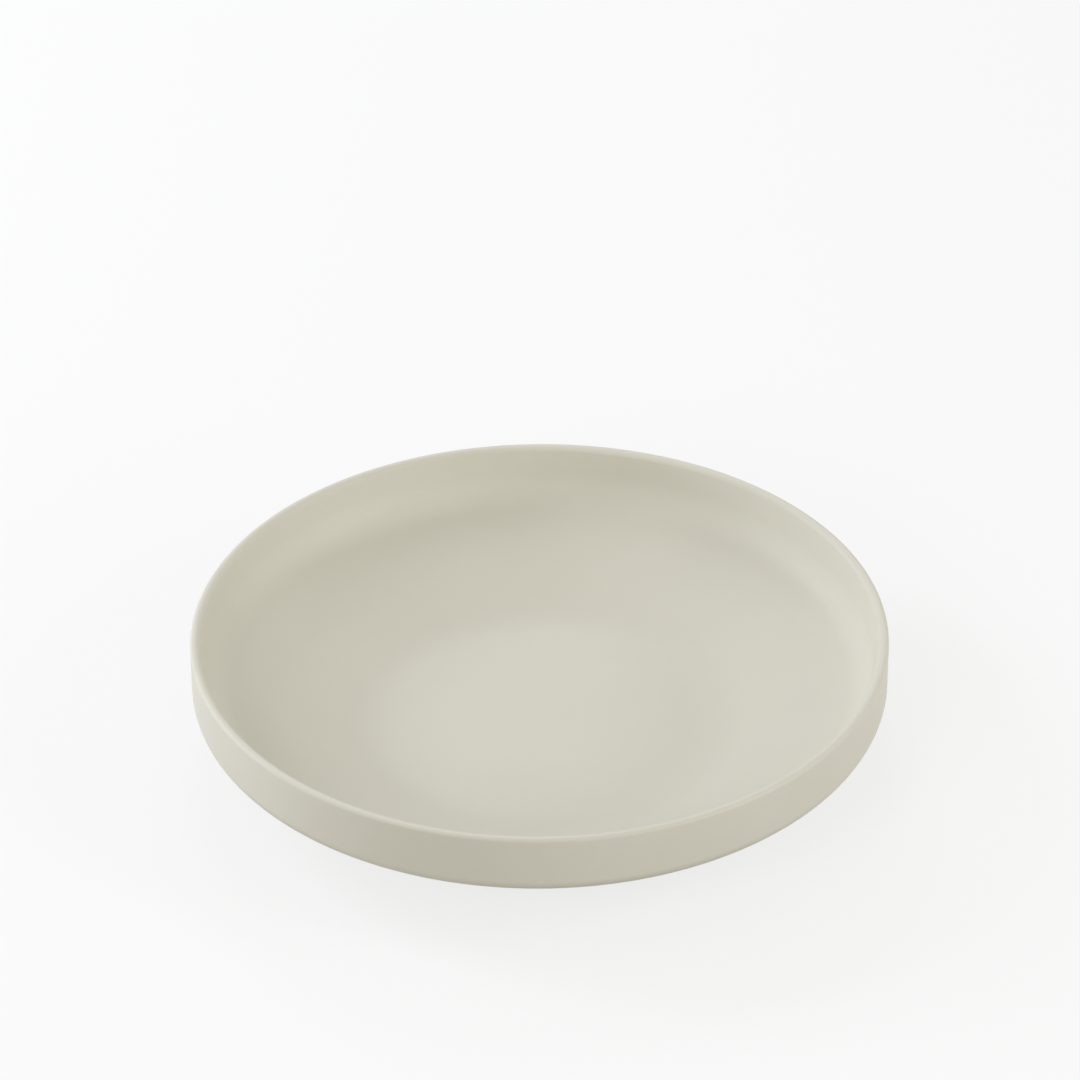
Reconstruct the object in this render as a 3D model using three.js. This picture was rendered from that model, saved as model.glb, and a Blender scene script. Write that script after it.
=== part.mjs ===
// Deep plate: a fired stoneware body under three glaze coats.
// Millimetres, +Z up. The origin is the centre of the foot ring, on the plane the plate stands on.
import * as THREE from 'three';

// Whole plate, over the glaze
const RIM_DIAMETER = 200;
const HEIGHT = 38.5;

// Collar: the upright wall and its rounded rim
const RIM_EDGE_RADIUS = 1.1;         // from the outer wall up to the crest of the rim
const RIM_INSIDE_RADIUS = 1.9;       // from the crest down to the inner face of the collar
const COLLAR_FOOT_THICKNESS = 3.8;   // wall where the inner face would stand upright
const COLLAR_DEPTH = 5.1;            // from the rim down to the centre of the curve into the dish
const BREAK_RADIUS = 12.5;           // curve from the collar into the dish
const CORNER_DROP = 9.1;             // the outer corner starts this much lower than that centre
const CORNER_RADIUS = 4.5;           // outer corner, from the wall into the underside

// Dish and floor
const FLOOR_DIAMETER = 88;           // flat part of the floor
const FLOOR_RADIUS = 45;             // curve from the floor into the dish
const FLOOR_THICKNESS = 5;
const UNDERSIDE_RADIUS = 400;        // bulge of the underside between the corner and the foot ring

// Foot ring, sizes of the bare clay
const FOOT_DIAMETER = 114;
const FOOT_WIDTH = 4.4;
const FOOT_HEIGHT = 4.2;             // outer side of the ring
const FOOT_RECESS = 2.5;             // glazed well inside the ring, above the table
const FOOT_EDGE_RADIUS = 1.0;        // bare rounded edges, where the glaze stops
const FOOT_ROOT_RADIUS = 1.8;        // curve from the underside into the ring
const WELL_RADIUS = 1.2;             // curve from the ring into its well

// Glaze
const GLAZE_THICKNESS = 0.4;
const BOND_GAP = 0.02;               // between a coat and the clay, and between two coats
const RIM_LAP = 2.5;                 // the inside coat runs over the rim and this far down the wall

// Facets
const AROUND = 56;
const CHORD_ERROR = 0.08;
const SAME_POINT = 0.001;            // arcs that touch share their end point

const COAT = GLAZE_THICKNESS + BOND_GAP;
const RIM_RADIUS = RIM_DIAMETER / 2;
const FLOOR_LEVEL = FOOT_RECESS + FLOOR_THICKNESS;
const CREST = RIM_RADIUS - RIM_EDGE_RADIUS;
const SEAM_LEVEL = HEIGHT - RIM_EDGE_RADIUS - RIM_LAP;
const FOOT_OUTSIDE = FOOT_DIAMETER / 2 + COAT;
const FOOT_INSIDE = FOOT_DIAMETER / 2 - FOOT_WIDTH - COAT;

// The ring's sides leave this much room for the curves above its bare edges
const ROOT_LIMIT = Math.min(FOOT_ROOT_RADIUS, FOOT_HEIGHT - FOOT_EDGE_RADIUS);
const WELL_LIMIT = Math.min(WELL_RADIUS, FOOT_RECESS - FOOT_EDGE_RADIUS);

// The profile is a chain of tangent arcs in the (radius, height) plane. It runs outwards over the floor,
// up the collar, over the rim and back under the plate, so the clay is always on its right. A hollow
// curve turns left and has a positive radius, a bulging one turns right and has a negative radius.
const arc = (r, z, radius) => ({ centre: new THREE.Vector2(r, z), radius });

const floorCurve = arc(FLOOR_DIAMETER / 2, FLOOR_LEVEL + FLOOR_RADIUS, FLOOR_RADIUS);
const breakCurve = arc(
  RIM_RADIUS - COLLAR_FOOT_THICKNESS - BREAK_RADIUS,
  HEIGHT - COLLAR_DEPTH,
  BREAK_RADIUS,
);
const rimInside = arc(CREST, HEIGHT - RIM_INSIDE_RADIUS, -RIM_INSIDE_RADIUS);
const rimEdge = arc(CREST, HEIGHT - RIM_EDGE_RADIUS, -RIM_EDGE_RADIUS);
const corner = arc(
  RIM_RADIUS - CORNER_RADIUS,
  HEIGHT - COLLAR_DEPTH - CORNER_DROP,
  -CORNER_RADIUS,
);
const footRoot = arc(FOOT_OUTSIDE + ROOT_LIMIT, FOOT_HEIGHT - ROOT_LIMIT, ROOT_LIMIT);
const underside = bulgeBetween(corner, footRoot, UNDERSIDE_RADIUS);
const footOuterEdge = arc(
  FOOT_OUTSIDE - COAT - FOOT_EDGE_RADIUS,
  FOOT_EDGE_RADIUS,
  -FOOT_EDGE_RADIUS - COAT,
);
const footInnerEdge = arc(
  FOOT_INSIDE + COAT + FOOT_EDGE_RADIUS,
  FOOT_EDGE_RADIUS,
  -FOOT_EDGE_RADIUS - COAT,
);
const wellCurve = arc(FOOT_INSIDE - WELL_LIMIT, FOOT_RECESS - WELL_LIMIT, WELL_LIMIT);

// A bulging arc that touches the bulging arc before it and the hollow arc after it.
function bulgeBetween(before, after, radius) {
  const toBefore = radius + before.radius;
  const toAfter = radius + after.radius;
  const span = after.centre.clone().sub(before.centre);
  const length = span.length();
  const along = (toBefore ** 2 - toAfter ** 2 + length ** 2) / (2 * length);
  const across = Math.sqrt(toBefore ** 2 - along ** 2);
  const forward = span.divideScalar(length);
  const right = new THREE.Vector2(forward.y, -forward.x);
  const centre = before.centre.clone().addScaledVector(forward, along).addScaledVector(right, across);
  return { centre, radius: -radius };
}

// Direction of the straight stretch, or the touching point, between two arcs of the chain.
function directionBetween(before, after) {
  const span = after.centre.clone().sub(before.centre);
  const lean = (after.radius - before.radius) / span.length();
  return span.angle() - Math.asin(THREE.MathUtils.clamp(lean, -1, 1));
}

// Points of a run of arcs, moved into the clay by inset. It starts and ends in the given directions.
function runOfArcs(arcs, startDirection, endDirection, inset) {
  const points = [];
  let direction = startDirection;
  arcs.forEach((piece, index) => {
    const last = index === arcs.length - 1;
    const next = last ? endDirection : directionBetween(piece, arcs[index + 1]);
    const leftTurn = THREE.MathUtils.euclideanModulo(next - direction, 2 * Math.PI);
    const turn = piece.radius > 0 ? leftTurn : leftTurn - 2 * Math.PI;
    const stepLimit = 2 * Math.acos(1 - CHORD_ERROR / Math.abs(piece.radius));
    const steps = Math.ceil(Math.abs(turn) / stepLimit);
    const radius = piece.radius + inset;
    for (let step = 0; step <= steps; step += 1) {
      const heading = direction + (turn * step) / steps;
      const r = piece.centre.x + radius * Math.sin(heading);
      const z = piece.centre.y - radius * Math.cos(heading);
      const point = new THREE.Vector2(r, z);
      const touching = points.length > 0 && points.at(-1).distanceTo(point) < SAME_POINT;
      if (!touching) {
        points.push(point);
      }
    }
    direction = next;
  });
  return points;
}

const OUTWARDS = 0;
const UPWARDS = Math.PI / 2;
const INWARDS = Math.PI;
const DOWNWARDS = -Math.PI / 2;

// Surfaces of the plate at a given depth below the glaze, each from its start to its end on the profile.
function insideSurface(inset) {
  const floorCentre = new THREE.Vector2(0, FLOOR_LEVEL - inset);
  const seam = new THREE.Vector2(RIM_RADIUS - inset, SEAM_LEVEL);
  const run = [floorCurve, breakCurve, rimInside, rimEdge];
  return [floorCentre, ...runOfArcs(run, OUTWARDS, DOWNWARDS, inset), seam];
}

function outsideSurface(inset) {
  const seam = new THREE.Vector2(RIM_RADIUS - inset, SEAM_LEVEL - BOND_GAP);
  const glazeLine = new THREE.Vector2(FOOT_OUTSIDE - inset, FOOT_EDGE_RADIUS);
  return [seam, ...runOfArcs([corner, underside, footRoot], DOWNWARDS, DOWNWARDS, inset), glazeLine];
}

function wellSurface(inset) {
  const glazeLine = new THREE.Vector2(FOOT_INSIDE + inset, FOOT_EDGE_RADIUS);
  const wellCentre = new THREE.Vector2(0, FOOT_RECESS + inset);
  return [glazeLine, ...runOfArcs([wellCurve], UPWARDS, INWARDS, inset), wellCentre];
}

function claySurface() {
  const chain = [floorCurve, breakCurve, rimInside, rimEdge, corner, underside, footRoot];
  const foot = [footOuterEdge, footInnerEdge, wellCurve];
  const floorCentre = new THREE.Vector2(0, FLOOR_LEVEL - COAT);
  const wellCentre = new THREE.Vector2(0, FOOT_RECESS + COAT);
  return [floorCentre, ...runOfArcs([...chain, ...foot], OUTWARDS, INWARDS, COAT), wellCentre];
}

// A coat is the skin between a glazed surface and the same surface one glaze thickness down. Its outline
// starts and ends on the axis where the coat reaches it, and otherwise closes on itself.
function coatOutline(surface) {
  const face = surface(0);
  const back = surface(GLAZE_THICKNESS).reverse();
  if (face[0].x === 0) {
    return [...face, ...back];
  }
  if (back[0].x === 0) {
    return [...back, ...face];
  }
  return [...face, ...back, face[0].clone()];
}

// Turns an outline, with the material on its right, about the plate's upright axis.
function turned(outline) {
  const geometry = new THREE.LatheGeometry(outline.slice().reverse(), AROUND);
  geometry.rotateX(Math.PI / 2);
  return geometry;
}

const firedClay = new THREE.MeshStandardMaterial({ color: 0xcfc4b0, roughness: 0.9, metalness: 0 });
const mattGlaze = new THREE.MeshStandardMaterial({ color: 0xcfccbc, roughness: 0.5, metalness: 0 });

function part(name, geometry, material) {
  const mesh = new THREE.Mesh(geometry, material.clone());
  mesh.name = name;
  return mesh;
}

const plate = new THREE.Group();
plate.name = 'deep_plate';
plate.add(part('stoneware_body', turned(claySurface()), firedClay));
plate.add(part('inside_glaze', turned(coatOutline(insideSurface)), mattGlaze));
plate.add(part('outside_glaze', turned(coatOutline(outsideSurface)), mattGlaze));
plate.add(part('foot_well_glaze', turned(coatOutline(wellSurface)), mattGlaze));

export default plate;
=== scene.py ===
import math
import bmesh
import bpy
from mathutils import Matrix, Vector


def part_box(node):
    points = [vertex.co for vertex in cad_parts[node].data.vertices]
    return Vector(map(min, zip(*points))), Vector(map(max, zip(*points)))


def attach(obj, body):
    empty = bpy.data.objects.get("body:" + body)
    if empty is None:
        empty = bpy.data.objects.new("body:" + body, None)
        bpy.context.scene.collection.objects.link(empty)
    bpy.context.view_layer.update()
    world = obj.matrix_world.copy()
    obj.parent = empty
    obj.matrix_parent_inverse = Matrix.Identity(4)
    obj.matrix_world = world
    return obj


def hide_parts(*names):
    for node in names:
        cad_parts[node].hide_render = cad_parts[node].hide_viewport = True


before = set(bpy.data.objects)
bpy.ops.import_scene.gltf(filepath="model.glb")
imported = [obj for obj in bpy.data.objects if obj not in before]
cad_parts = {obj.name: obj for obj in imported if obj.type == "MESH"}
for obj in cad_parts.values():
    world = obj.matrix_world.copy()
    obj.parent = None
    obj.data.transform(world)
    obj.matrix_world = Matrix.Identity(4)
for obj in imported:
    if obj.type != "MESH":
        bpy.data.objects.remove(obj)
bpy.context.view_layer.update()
print("frame loaded:", sorted(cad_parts))

mm = 0.001
turn = 2 * math.pi
outwards = 0.0                                 # headings in the (radius, height) plane
upwards = math.pi / 2
inwards = math.pi
downwards = -math.pi / 2

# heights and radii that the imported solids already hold
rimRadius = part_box("inside_glaze")[1].x
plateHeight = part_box("inside_glaze")[1].z
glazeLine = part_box("outside_glaze")[0].z       # the glaze stops this far above the table
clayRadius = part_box("stoneware_body")[1].x
coat = rimRadius - clayRadius                  # glaze and its bond

plateShape = {
    "rimEdgeRadius": 1.1 * mm,                 # from the outer wall up to the crest of the rim
    "rimInsideRadius": 1.9 * mm,               # from the crest down to the inner face of the collar
    "collarFootThickness": 3.8 * mm,           # wall where the inner face would stand upright
    "collarDepth": 5.1 * mm,                   # from the rim down to the centre of the curve into the dish
    "breakRadius": 12.5 * mm,                  # curve from the collar into the dish
    "cornerDrop": 9.1 * mm,                    # the outer corner starts this much lower than that centre
    "cornerRadius": 4.5 * mm,
    "floorDiameter": 88.0 * mm,                # flat part of the floor
    "floorRadius": 45.0 * mm,                  # curve from the floor into the dish
    "floorThickness": 5.0 * mm,
    "undersideRadius": 400.0 * mm,             # bulge between the corner and the foot ring
    "footDiameter": 114.0 * mm,
    "footWidth": 4.4 * mm,
    "footHeight": 4.2 * mm,
    "footRecess": 2.5 * mm,                    # well inside the ring, above the table
    "footRootRadius": 1.8 * mm,
    "wellRadius": 1.2 * mm,
    "rimLap": 2.5 * mm,                        # the inside coat runs over the rim and this far down the wall
    "glazeThickness": 0.4 * mm,
    "lipRadius": 0.22 * mm,                    # melted lip of a coat, where it stops on the foot ring
}
fineness = {
    "stepsAround": 288,
    "chordError": 0.004 * mm,
    "samePlace": 0.001 * mm,
    "lipSegments": 4,
    "sharpAngle": math.radians(50),
}
seamLevel = plateHeight - plateShape["rimEdgeRadius"] - plateShape["rimLap"]
floorLevel = plateShape["footRecess"] + plateShape["floorThickness"]
footOutside = plateShape["footDiameter"] / 2 + coat
footInside = plateShape["footDiameter"] / 2 - plateShape["footWidth"] - coat


# The outline of the plate: arcs that run into each other, over the floor, up the collar, over the rim
# and back underneath. A hollow arc has a positive bend, a bulging one a negative bend.
def arc(r, z, bend):
    return {"centre": Vector((r, z)), "bend": bend}


def bulgeBetween(before, after, radius):
    # a bulging arc that touches the bulging arc before it and the hollow arc after it
    reachBefore = radius + before["bend"]
    reachAfter = radius + after["bend"]
    span = after["centre"] - before["centre"]
    along = (reachBefore ** 2 - reachAfter ** 2 + span.length ** 2) / (2 * span.length)
    across = math.sqrt(reachBefore ** 2 - along ** 2)
    forward = span.normalized()
    right = Vector((forward.y, -forward.x))
    centre = before["centre"] + forward * along + right * across
    return {"centre": centre, "bend": -radius}


def plateArcs(s):
    breakLevel = plateHeight - s["collarDepth"]
    breakReach = rimRadius - s["collarFootThickness"] - s["breakRadius"]
    crest = rimRadius - s["rimEdgeRadius"]
    rootReach = footOutside + s["footRootRadius"]
    rootLevel = s["footHeight"] - s["footRootRadius"]
    bareEdge = -glazeLine - coat
    arcs = {
        "floor": arc(s["floorDiameter"] / 2, floorLevel + s["floorRadius"], s["floorRadius"]),
        "break": arc(breakReach, breakLevel, s["breakRadius"]),
        "rimInside": arc(crest, plateHeight - s["rimInsideRadius"], -s["rimInsideRadius"]),
        "rimEdge": arc(crest, plateHeight - s["rimEdgeRadius"], -s["rimEdgeRadius"]),
        "corner": arc(rimRadius - s["cornerRadius"], breakLevel - s["cornerDrop"], -s["cornerRadius"]),
        "footRoot": arc(rootReach, rootLevel, s["footRootRadius"]),
        "footOuterEdge": arc(footOutside + bareEdge, glazeLine, bareEdge),
        "footInnerEdge": arc(footInside - bareEdge, glazeLine, bareEdge),
        "well": arc(footInside - s["wellRadius"], s["footRecess"] - s["wellRadius"], s["wellRadius"]),
    }
    arcs["underside"] = bulgeBetween(arcs["corner"], arcs["footRoot"], s["undersideRadius"])
    return arcs


def headingBetween(before, after):
    span = after["centre"] - before["centre"]
    lean = (after["bend"] - before["bend"]) / span.length
    return math.atan2(span.y, span.x) - math.asin(max(-1.0, min(1.0, lean)))


def lineTo(bm, tip, r, z):
    end = Vector((r, 0, z))
    if (tip.co - end).length < fineness["chordError"]:
        return tip
    new = bmesh.ops.extrude_vert_indiv(bm, verts=[tip])["verts"][0]
    new.co = end
    return new


def sweepTip(bm, tip, bend, centre, angle):
    stepLimit = 2 * math.acos(1 - fineness["chordError"] / abs(bend))
    swept = bmesh.ops.spin(
        bm,
        geom=[tip],
        cent=(centre.x, 0, centre.y),
        axis=(0, -1, 0),
        angle=angle,
        steps=math.ceil(abs(angle) / stepLimit),
        use_merge=False,
        use_duplicate=False,
    )
    return next(item for item in swept["geom_last"] if isinstance(item, bmesh.types.BMVert))


def drawRun(bm, tip, names, heading, lastHeading, inset):
    # follows a run of arcs, moved into the clay by inset
    run = [arcs[name] for name in names]
    for index, piece in enumerate(run):
        ends = index == len(run) - 1
        nextHeading = lastHeading if ends else headingBetween(piece, run[index + 1])
        leftTurn = (nextHeading - heading) % turn
        angle = leftTurn if piece["bend"] > 0 else leftTurn - turn
        bend = piece["bend"] + inset
        startR = piece["centre"].x + bend * math.sin(heading)
        startZ = piece["centre"].y - bend * math.cos(heading)
        tip = lineTo(bm, tip, startR, startZ)
        tip = sweepTip(bm, tip, bend, piece["centre"], angle)
        heading = nextHeading
    return tip


def turnOnWheel(bm):
    bmesh.ops.spin(
        bm,
        geom=bm.verts[:] + bm.edges[:],
        cent=(0, 0, 0),
        axis=(0, 0, 1),
        angle=turn,
        steps=fineness["stepsAround"],
        use_merge=True,
        use_duplicate=False,
    )
    bmesh.ops.remove_doubles(bm, verts=bm.verts, dist=fineness["samePlace"])
    bmesh.ops.recalc_face_normals(bm, faces=bm.faces)


def thickenCoat(bm, direction):
    # an open skin has no outside of its own, so its flattest face decides which side meets the air
    sample = max(bm.faces, key=lambda face: abs(face.normal.dot(direction)))
    if sample.normal.dot(direction) < 0:
        bmesh.ops.reverse_faces(bm, faces=bm.faces)
    bmesh.ops.solidify(bm, geom=bm.faces[:], thickness=plateShape["glazeThickness"])


def roundLip(bm, radius):
    def onLip(vert):
        offLine = abs(vert.co.z - glazeLine)
        offRing = abs(vert.co.xy.length - radius)
        return max(offLine, offRing) < fineness["chordError"]

    lip = [edge for edge in bm.edges if onLip(edge.verts[0]) and onLip(edge.verts[1])]
    bmesh.ops.bevel(
        bm,
        geom=lip,
        offset=plateShape["lipRadius"],
        offset_type="OFFSET",
        segments=fineness["lipSegments"],
        profile=0.5,
        affect="EDGES",
        material=-1,
    )
    print("lip edges rounded:", len(lip))


def finishPiece(bm, name, node):
    mesh = bpy.data.meshes.new(name)
    bm.to_mesh(mesh)
    bm.free()
    mesh.shade_smooth()
    mesh.set_sharp_from_angle(angle=fineness["sharpAngle"])
    piece = bpy.data.objects.new(name, mesh)
    bpy.context.scene.collection.objects.link(piece)
    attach(piece, "root")
    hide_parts(node)
    print(name, "made:", len(mesh.polygons), "faces")
    return piece


arcs = plateArcs(plateShape)
insideRun = ["floor", "break", "rimInside", "rimEdge"]
outsideRun = ["corner", "underside", "footRoot"]
footRun = ["footOuterEdge", "footInnerEdge"]
wellRun = ["well"]
skywards = Vector((0, 0, 1))
groundwards = Vector((0, 0, -1))


def makeBody():
    bm = bmesh.new()
    tip = bm.verts.new((0, 0, floorLevel - coat))
    tip = drawRun(bm, tip, insideRun + outsideRun + footRun + wellRun, outwards, inwards, coat)
    lineTo(bm, tip, 0, plateShape["footRecess"] + coat)
    turnOnWheel(bm)
    return finishPiece(bm, "stonewareBody", "stoneware_body")


def makeInsideGlaze():
    bm = bmesh.new()
    tip = bm.verts.new((0, 0, floorLevel))
    tip = drawRun(bm, tip, insideRun, outwards, downwards, 0)
    lineTo(bm, tip, rimRadius, seamLevel)
    turnOnWheel(bm)
    thickenCoat(bm, skywards)
    return finishPiece(bm, "insideGlaze", "inside_glaze")


def makeOutsideGlaze():
    bm = bmesh.new()
    tip = bm.verts.new((rimRadius, 0, seamLevel))
    tip = drawRun(bm, tip, outsideRun, downwards, downwards, 0)
    lineTo(bm, tip, footOutside, glazeLine)
    turnOnWheel(bm)
    thickenCoat(bm, groundwards)
    roundLip(bm, footOutside)
    return finishPiece(bm, "outsideGlaze", "outside_glaze")


def makeFootWellGlaze():
    bm = bmesh.new()
    tip = bm.verts.new((footInside, 0, glazeLine))
    tip = drawRun(bm, tip, wellRun, upwards, inwards, 0)
    lineTo(bm, tip, 0, plateShape["footRecess"])
    turnOnWheel(bm)
    thickenCoat(bm, groundwards)
    roundLip(bm, footInside)
    return finishPiece(bm, "footWellGlaze", "foot_well_glaze")


stonewareBody = makeBody()
insideGlaze = makeInsideGlaze()
outsideGlaze = makeOutsideGlaze()
footWellGlaze = makeFootWellGlaze()


# Nodes that the finishes are put together from
def addNode(tree, kind, **settings):
    node = tree.nodes.new(kind)
    for key, value in settings.items():
        setattr(node, key, value)
    return node


def plateCoordinates(tree):
    return addNode(tree, "ShaderNodeTexCoord").outputs["Object"]


def noise(tree, scale, detail):
    node = addNode(tree, "ShaderNodeTexNoise")
    node.inputs["Scale"].default_value = scale
    node.inputs["Detail"].default_value = detail
    tree.links.new(plateCoordinates(tree), node.inputs["Vector"])
    return node.outputs["Fac"]


def rampNode(tree, value, fromLow, fromHigh, low, high, kind="LINEAR"):
    node = addNode(tree, "ShaderNodeMapRange", interpolation_type=kind)
    node.inputs["From Min"].default_value = fromLow
    node.inputs["From Max"].default_value = fromHigh
    node.inputs["To Min"].default_value = low
    node.inputs["To Max"].default_value = high
    tree.links.new(value, node.inputs["Value"])
    return node


def ramp(tree, value, fromLow, fromHigh, low=0.0, high=1.0, kind="LINEAR"):
    return rampNode(tree, value, fromLow, fromHigh, low, high, kind).outputs["Result"]


def combine(tree, operation, first, second):
    node = addNode(tree, "ShaderNodeMath", operation=operation)
    tree.links.new(first, node.inputs[0])
    if isinstance(second, float):
        node.inputs[1].default_value = second
    else:
        tree.links.new(second, node.inputs[1])
    return node.outputs[0]


def scaled(tree, value, share):
    return combine(tree, "MULTIPLY", value, share)


def blend(tree, share, first, second):
    node = addNode(tree, "ShaderNodeMix", data_type="RGBA")
    tree.links.new(share, node.inputs["Factor"])
    for socket, color in ((node.inputs[6], first), (node.inputs[7], second)):
        if isinstance(color, tuple):
            socket.default_value = color
        else:
            tree.links.new(color, socket)
    return node.outputs[2]


def roughen(tree, shader, height, strength, distance):
    bump = addNode(tree, "ShaderNodeBump")
    bump.inputs["Strength"].default_value = strength
    bump.inputs["Distance"].default_value = distance
    tree.links.new(height, bump.inputs["Height"])
    tree.links.new(bump.outputs["Normal"], shader.inputs["Normal"])


def newMaterial(name, specular):
    material = bpy.data.materials.new(name)
    material.use_nodes = True
    shader = material.node_tree.nodes["Principled BSDF"]
    shader.inputs["Specular IOR Level"].default_value = specular
    return material, material.node_tree, shader


# Effects that the finishes share, as node groups in the plate's own coordinates
def effectGroup(name, inputs, outputs):
    tree = bpy.data.node_groups.new(name, "ShaderNodeTree")
    for label, kind in inputs:
        tree.interface.new_socket(name=label, in_out="INPUT", socket_type=kind)
    for label, kind in outputs:
        tree.interface.new_socket(name=label, in_out="OUTPUT", socket_type=kind)
    return tree, addNode(tree, "NodeGroupInput"), addNode(tree, "NodeGroupOutput")


def useGroup(tree, group, **values):
    node = addNode(tree, "ShaderNodeGroup", node_tree=group)
    for label, value in values.items():
        node.inputs[label].default_value = value
    return node


skinDetail = {
    "cloudScale": 34.0,                        # slow drift of tone
    "cloudDetail": 3.0,
    "cloudSpan": (0.32, 0.68),                 # part of the noise that is stretched over the whole drift
    "grainScale": 1700.0,                      # fine grain of a matt coat
    "grainDetail": 2.0,
    "grainSpan": (0.3, 0.7),
    "rippleScale": 170.0,                      # slight waves of the melt
    "rippleDetail": 2.0,
    "cloudInTone": 0.62,
    "grainInTone": 0.38,
    "rippleInHeight": 0.8,
    "grainInHeight": 0.2,
    "smoothest": 0.43,
    "roughest": 0.51,
}


def glazeSkinGroup():
    tree, source, result = effectGroup(
        "glazeSkin",
        [("Deep", "NodeSocketColor"), ("Pale", "NodeSocketColor")],
        [("Color", "NodeSocketColor"), ("Roughness", "NodeSocketFloat"), ("Height", "NodeSocketFloat")],
    )
    drifting = noise(tree, skinDetail["cloudScale"], skinDetail["cloudDetail"])
    speckled = noise(tree, skinDetail["grainScale"], skinDetail["grainDetail"])
    ripple = noise(tree, skinDetail["rippleScale"], skinDetail["rippleDetail"])
    cloud = ramp(tree, drifting, *skinDetail["cloudSpan"])
    grain = ramp(tree, speckled, *skinDetail["grainSpan"])
    fineTone = scaled(tree, grain, skinDetail["grainInTone"])
    tone = combine(tree, "ADD", scaled(tree, cloud, skinDetail["cloudInTone"]), fineTone)
    color = blend(tree, tone, source.outputs["Deep"], source.outputs["Pale"])
    roughness = ramp(tree, tone, 0.0, 1.0, skinDetail["smoothest"], skinDetail["roughest"])
    fineHeight = scaled(tree, grain, skinDetail["grainInHeight"])
    height = combine(tree, "ADD", scaled(tree, ripple, skinDetail["rippleInHeight"]), fineHeight)
    tree.links.new(color, result.inputs["Color"])
    tree.links.new(roughness, result.inputs["Roughness"])
    tree.links.new(height, result.inputs["Height"])
    return tree


edgeDetail = {
    "patchScale": 120.0,
    "patchDetail": 2.0,
    "patchSpan": (0.35, 0.65),
    "faintest": 0.7,
}


def thinEdgeGroup():
    # 1 where a surface comes near an edge at a given height, broken up into patches
    tree, source, result = effectGroup(
        "thinEdge",
        [("Start", "NodeSocketFloat"), ("Edge", "NodeSocketFloat")],
        [("Mask", "NodeSocketFloat")],
    )
    axes = addNode(tree, "ShaderNodeSeparateXYZ")
    tree.links.new(plateCoordinates(tree), axes.inputs[0])
    climb = rampNode(tree, axes.outputs["Z"], 0.0, 1.0, 0.0, 1.0, "SMOOTHSTEP")
    tree.links.new(source.outputs["Start"], climb.inputs["From Min"])
    tree.links.new(source.outputs["Edge"], climb.inputs["From Max"])
    patchy = noise(tree, edgeDetail["patchScale"], edgeDetail["patchDetail"])
    patches = ramp(tree, patchy, *edgeDetail["patchSpan"], edgeDetail["faintest"])
    tree.links.new(combine(tree, "MULTIPLY", climb.outputs["Result"], patches), result.inputs["Mask"])
    return tree


def poolAndShadeRingGroup():
    # 1 on a ring about the axis, fading to both sides: where glaze gathers in a hollow, and where painted
    # shade darkens that hollow
    tree, source, result = effectGroup(
        "poolAndShadeRing",
        [("Radius", "NodeSocketFloat"), ("Width", "NodeSocketFloat")],
        [("Mask", "NodeSocketFloat")],
    )
    flat = addNode(tree, "ShaderNodeVectorMath", operation="MULTIPLY")
    flat.inputs[1].default_value = (1, 1, 0)   # leaves out the height
    tree.links.new(plateCoordinates(tree), flat.inputs[0])
    reach = addNode(tree, "ShaderNodeVectorMath", operation="LENGTH")
    tree.links.new(flat.outputs["Vector"], reach.inputs[0])
    away = combine(tree, "SUBTRACT", reach.outputs["Value"], source.outputs["Radius"])
    far = combine(tree, "DIVIDE", combine(tree, "ABSOLUTE", away, 0.0), source.outputs["Width"])
    tree.links.new(ramp(tree, far, 0.0, 1.0, 1.0, 0.0, "SMOOTHSTEP"), result.inputs["Mask"])
    return tree


glazeSkin = glazeSkinGroup()
thinEdge = thinEdgeGroup()
poolAndShadeRing = poolAndShadeRingGroup()

# Satin-matt warm grey glaze
glazeLook = {
    "deep": (0.611, 0.596, 0.512, 1.0),
    "pale": (0.629, 0.613, 0.530, 1.0),
    "paleEdgeAndHighlight": (0.69, 0.665, 0.575, 1.0),         # paler near the edge where a coat stops; on the rim crest it is a painted highlight
    "pooledAndShaded": (0.585, 0.571, 0.492, 1.0),    # deeper where the coat is thick, and painted shade in the hollows
    "specular": 0.13,
    "rubbed": 0.06,                            # thin glaze is this much smoother
    "bumpStrength": 0.2,
    "bumpDistance": 0.1 * mm,
}
insideLook = {
    # paler band on the rim crest: painted highlight
    "thinStart": plateHeight - 1.5 * mm,
    "thinEdge": plateHeight,
    "paleEdgeAndHighlightShare": 0.15,
    # darker ring at the floor's edge: painted shade in the hollow, partly glaze gathered there
    "poolAndShadeRadius": 52.5 * mm,
    "poolAndShadeWidth": 9.0 * mm,
    "poolAndShadeShare": 0.25,
}
outsideLook = {
    "thinStart": 2.6 * mm,
    "thinEdge": glazeLine,
    "paleEdgeAndHighlightShare": 0.8,
    "poolAndShadeRadius": footOutside + 1.6 * mm,
    "poolAndShadeWidth": 2.4 * mm,
    "poolAndShadeShare": 0.7,
}
wellLook = {
    "thinStart": 1.6 * mm,
    "thinEdge": glazeLine,
    "paleEdgeAndHighlightShare": 0.8,
    "poolAndShadeRadius": footInside - 1.2 * mm,
    "poolAndShadeWidth": 3.2 * mm,
    "poolAndShadeShare": 0.8,
}


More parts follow.
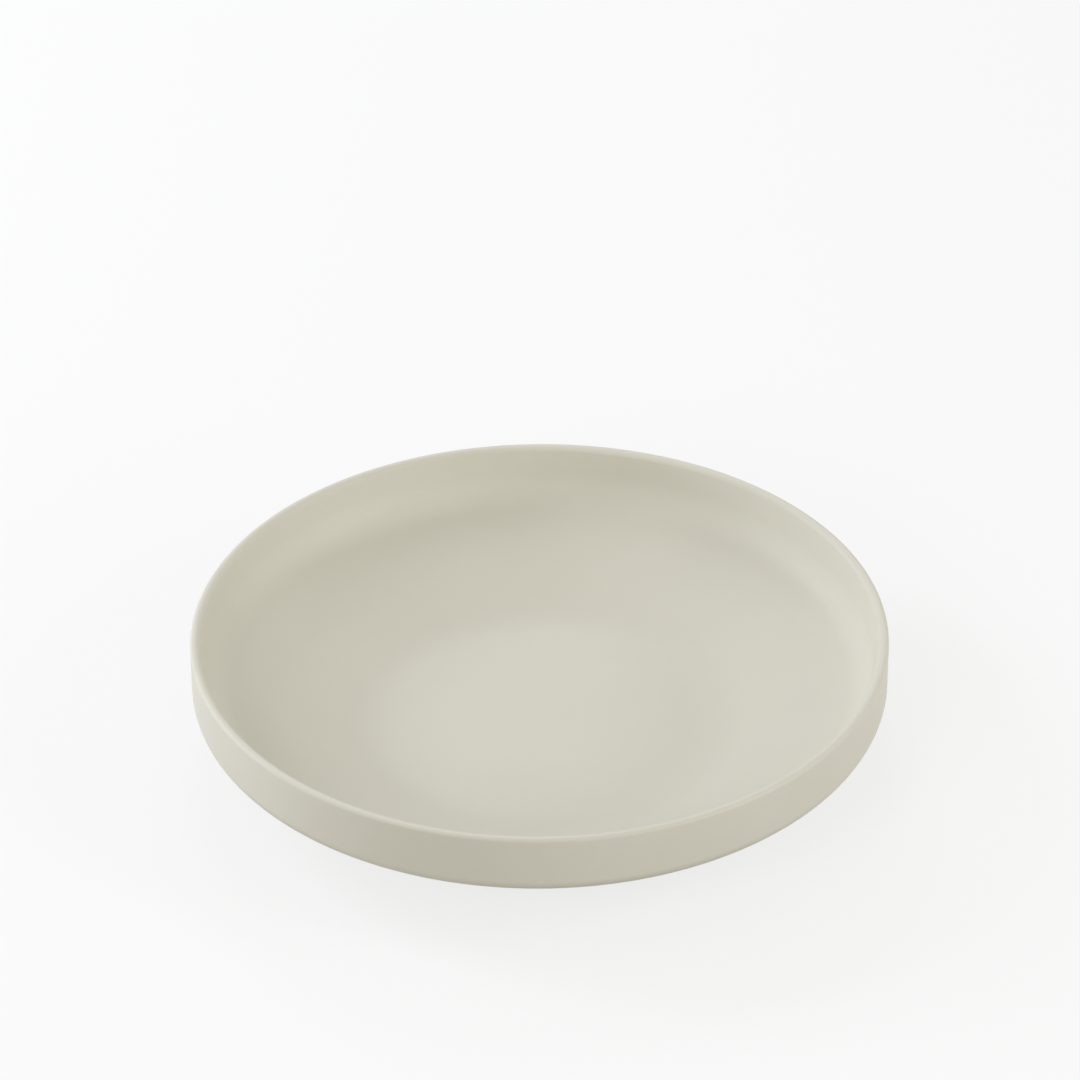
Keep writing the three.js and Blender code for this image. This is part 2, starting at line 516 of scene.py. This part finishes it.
def glazeMaterial(name, look):
    material, tree, shader = newMaterial(name, glazeLook["specular"])
    skin = useGroup(tree, glazeSkin, Deep=glazeLook["deep"], Pale=glazeLook["pale"])
    poolAndShade = useGroup(tree, poolAndShadeRing, Radius=look["poolAndShadeRadius"], Width=look["poolAndShadeWidth"])
    paleEdgeAndHighlight = useGroup(tree, thinEdge, Start=look["thinStart"], Edge=look["thinEdge"])
    # darker ring: partly glaze gathered in a hollow, partly painted shade
    poolAndShadeShare = scaled(tree, poolAndShade.outputs["Mask"], look["poolAndShadeShare"])
    paleEdgeAndHighlightShare = scaled(tree, paleEdgeAndHighlight.outputs["Mask"], look["paleEdgeAndHighlightShare"])
    color = blend(tree, poolAndShadeShare, skin.outputs["Color"], glazeLook["pooledAndShaded"])
    # paler near a coat's edge, a painted highlight on the rim crest
    color = blend(tree, paleEdgeAndHighlightShare, color, glazeLook["paleEdgeAndHighlight"])
    rubbed = scaled(tree, paleEdgeAndHighlightShare, glazeLook["rubbed"])
    roughness = combine(tree, "SUBTRACT", skin.outputs["Roughness"], rubbed)
    tree.links.new(color, shader.inputs["Base Color"])
    tree.links.new(roughness, shader.inputs["Roughness"])
    roughen(tree, shader, skin.outputs["Height"], glazeLook["bumpStrength"], glazeLook["bumpDistance"])
    return material


# Bare fired clay on the foot ring
clayLook = {
    "deep": (0.46, 0.37, 0.27, 1.0),
    "pale": (0.60, 0.51, 0.40, 1.0),
    "flash": (0.47, 0.30, 0.17, 1.0),          # warm line that firing leaves next to the glaze
    "worn": (0.53, 0.49, 0.43, 1.0),           # bearing face, rubbed by tables
    "grainScale": 1500.0,
    "grainDetail": 4.0,
    "grainSpan": (0.3, 0.7),
    "driftScale": 60.0,
    "driftDetail": 3.0,
    "driftSpan": (0.35, 0.65),
    "ringScale": 520.0,                        # fine rings of the turning tool
    "ringWobble": 2.0,
    "grainInTone": 0.6,
    "driftInTone": 0.4,
    "ringInHeight": 0.5,
    "flashStart": 0.45 * mm,
    "flashShare": 0.8,
    "wornStart": 0.25 * mm,
    "wornShare": 0.6,
    "smoothest": 0.8,
    "roughest": 0.95,
    "rubbed": 0.25,                            # the worn face is this much smoother
    "specular": 0.2,
    "bumpStrength": 0.5,
    "bumpDistance": 0.12 * mm,
}


def turningRings(tree):
    rings = addNode(tree, "ShaderNodeTexWave", wave_type="RINGS", rings_direction="Z")
    rings.inputs["Scale"].default_value = clayLook["ringScale"]
    rings.inputs["Distortion"].default_value = clayLook["ringWobble"]
    tree.links.new(plateCoordinates(tree), rings.inputs["Vector"])
    return rings.outputs["Fac"]


def clayMaterial(name):
    material, tree, shader = newMaterial(name, clayLook["specular"])
    speckled = noise(tree, clayLook["grainScale"], clayLook["grainDetail"])
    drifting = noise(tree, clayLook["driftScale"], clayLook["driftDetail"])
    grain = ramp(tree, speckled, *clayLook["grainSpan"])
    drift = ramp(tree, drifting, *clayLook["driftSpan"])
    flash = useGroup(tree, thinEdge, Start=clayLook["flashStart"], Edge=glazeLine)
    worn = useGroup(tree, thinEdge, Start=clayLook["wornStart"], Edge=0.0)
    flashShare = scaled(tree, flash.outputs["Mask"], clayLook["flashShare"])
    wornShare = scaled(tree, worn.outputs["Mask"], clayLook["wornShare"])
    fineTone = scaled(tree, grain, clayLook["grainInTone"])
    tone = combine(tree, "ADD", fineTone, scaled(tree, drift, clayLook["driftInTone"]))
    color = blend(tree, tone, clayLook["deep"], clayLook["pale"])
    color = blend(tree, flashShare, color, clayLook["flash"])
    color = blend(tree, wornShare, color, clayLook["worn"])
    dull = ramp(tree, grain, 0.0, 1.0, clayLook["smoothest"], clayLook["roughest"])
    roughness = combine(tree, "SUBTRACT", dull, scaled(tree, wornShare, clayLook["rubbed"]))
    height = combine(tree, "ADD", grain, scaled(tree, turningRings(tree), clayLook["ringInHeight"]))
    tree.links.new(color, shader.inputs["Base Color"])
    tree.links.new(roughness, shader.inputs["Roughness"])
    roughen(tree, shader, height, clayLook["bumpStrength"], clayLook["bumpDistance"])
    return material


insideGlaze.data.materials.append(glazeMaterial("insideGlaze", insideLook))
outsideGlaze.data.materials.append(glazeMaterial("outsideGlaze", outsideLook))
footWellGlaze.data.materials.append(glazeMaterial("footWellGlaze", wellLook))
stonewareBody.data.materials.append(clayMaterial("firedClay"))
print("finishes made")


# Camera, from the plate's outline in the photograph
cameraView = {
    "distance": 1.5,                           # to the centre of the rim
    "elevation": 34.59,
    "pitch": 33.60,
    "roll": -0.35,
    "sideStep": 0.33 * mm,
    "lens": 174.52,
    "sensor": 36.0,
}


def makeCamera():
    data = bpy.data.cameras.new("camera")
    data.sensor_fit = "HORIZONTAL"
    data.sensor_width = cameraView["sensor"]
    data.lens = cameraView["lens"]
    camera = bpy.data.objects.new("camera", data)
    elevation = math.radians(cameraView["elevation"])
    back = cameraView["distance"] * math.cos(elevation)
    up = cameraView["distance"] * math.sin(elevation)
    camera.location = (cameraView["sideStep"], -back, plateHeight + up)
    camera.rotation_mode = "XYZ"
    camera.rotation_euler = (math.radians(90 - cameraView["pitch"]), 0, 0)
    camera.rotation_euler.rotate_axis("Z", math.radians(cameraView["roll"]))
    bpy.context.scene.collection.objects.link(camera)
    bpy.context.scene.camera = camera


makeCamera()
print("camera placed")


# Pale floor: grey enough to throw little light back, and near white to the camera
floorLook = {
    "size": 6.0,
    "bounceColor": (0.58, 0.57, 0.54, 1.0),
    "paleColor": (0.97, 0.97, 0.97, 1.0),
    "shadowShare": 0.22,                       # how much of the floor that the camera sees takes the shadow
    "shadowColor": (0.85, 0.85, 0.85, 1.0),
}


def seenDirectly(tree):
    # 1 for camera, glossy and transmission rays, 0 for light that bounces
    path = addNode(tree, "ShaderNodeLightPath").outputs
    plain = combine(tree, "MAXIMUM", path["Is Camera Ray"], path["Is Glossy Ray"])
    return combine(tree, "MAXIMUM", plain, path["Is Transmission Ray"])


def floorMaterial():
    material = bpy.data.materials.new("paleFloor")
    material.use_nodes = True
    tree = material.node_tree
    tree.nodes.clear()
    bounce = addNode(tree, "ShaderNodeBsdfDiffuse")
    bounce.inputs["Color"].default_value = floorLook["bounceColor"]
    shaded = addNode(tree, "ShaderNodeBsdfDiffuse")
    shaded.inputs["Color"].default_value = floorLook["shadowColor"]
    pale = addNode(tree, "ShaderNodeEmission")
    pale.inputs["Color"].default_value = floorLook["paleColor"]
    seen = addNode(tree, "ShaderNodeMixShader")
    seen.inputs["Fac"].default_value = floorLook["shadowShare"]
    tree.links.new(pale.outputs[0], seen.inputs[1])
    tree.links.new(shaded.outputs[0], seen.inputs[2])
    either = addNode(tree, "ShaderNodeMixShader")
    tree.links.new(seenDirectly(tree), either.inputs["Fac"])
    tree.links.new(bounce.outputs[0], either.inputs[1])
    tree.links.new(seen.outputs[0], either.inputs[2])
    output = addNode(tree, "ShaderNodeOutputMaterial")
    tree.links.new(either.outputs[0], output.inputs["Surface"])
    return material


def makeFloor():
    bm = bmesh.new()
    bmesh.ops.create_grid(bm, x_segments=1, y_segments=1, size=floorLook["size"] / 2)
    mesh = bpy.data.meshes.new("floor")
    bm.to_mesh(mesh)
    bm.free()
    floor = bpy.data.objects.new("floor", mesh)
    bpy.context.scene.collection.objects.link(floor)
    mesh.materials.append(floorMaterial())


makeFloor()
print("floor laid")


# Soft studio light: six mild softboxes in a dim room, the cooler ones on the key side
softbox = {"size": 0.45, "distance": 1.2}
coolWhite = (0.925, 0.97, 1.105)
plainWhite = (0.975, 0.98, 1.045)
lamps = {
    "leftLow": {"azimuth": 168, "elevation": 7, "power": 3.6, "color": coolWhite},
    "leftKey": {"azimuth": 156, "elevation": 31, "power": 5.9, "color": coolWhite},
    "backFill": {"azimuth": 96, "elevation": 39, "power": 2.4, "color": coolWhite},
    "rightFill": {"azimuth": 348, "elevation": 31, "power": 3.0, "color": plainWhite},
    "rightLow": {"azimuth": 336, "elevation": 15, "power": 3.3, "color": plainWhite},
    "frontFill": {"azimuth": 240, "elevation": 31, "power": 3.7, "color": plainWhite},
}
room = {
    "light": (1.0, 0.955, 0.825, 1.0),
    "strength": 0.455,
    "seenColor": (0.947, 0.947, 0.947, 1.0),
}


def makeLamp(name, lamp):
    data = bpy.data.lights.new(name, "AREA")
    data.shape = "SQUARE"
    data.size = softbox["size"]
    data.energy = lamp["power"]
    data.color = lamp["color"]
    azimuth = math.radians(lamp["azimuth"])
    elevation = math.radians(lamp["elevation"])
    reach = softbox["distance"] * math.cos(elevation)
    level = softbox["distance"] * math.sin(elevation)
    place = Vector((reach * math.cos(azimuth), reach * math.sin(azimuth), level))
    holder = bpy.data.objects.new(name, data)
    holder.location = place
    holder.rotation_mode = "QUATERNION"
    holder.rotation_quaternion = (-place).to_track_quat("-Z", "Y")
    bpy.context.scene.collection.objects.link(holder)


def makeRoom():
    world = bpy.data.worlds.new("studio")
    bpy.context.scene.world = world
    world.use_nodes = True
    tree = world.node_tree
    lighting = tree.nodes["Background"]
    lighting.inputs["Color"].default_value = room["light"]
    lighting.inputs["Strength"].default_value = room["strength"]
    seen = addNode(tree, "ShaderNodeBackground")
    seen.inputs["Color"].default_value = room["seenColor"]
    either = addNode(tree, "ShaderNodeMixShader")
    tree.links.new(seenDirectly(tree), either.inputs["Fac"])
    tree.links.new(lighting.outputs[0], either.inputs[1])
    tree.links.new(seen.outputs[0], either.inputs[2])
    tree.links.new(either.outputs[0], tree.nodes["World Output"].inputs["Surface"])


for lampName, lamp in lamps.items():
    makeLamp(lampName, lamp)
makeRoom()
print("light set")

bpy.context.scene.view_settings.view_transform = "Standard"
bpy.context.view_layer.update()
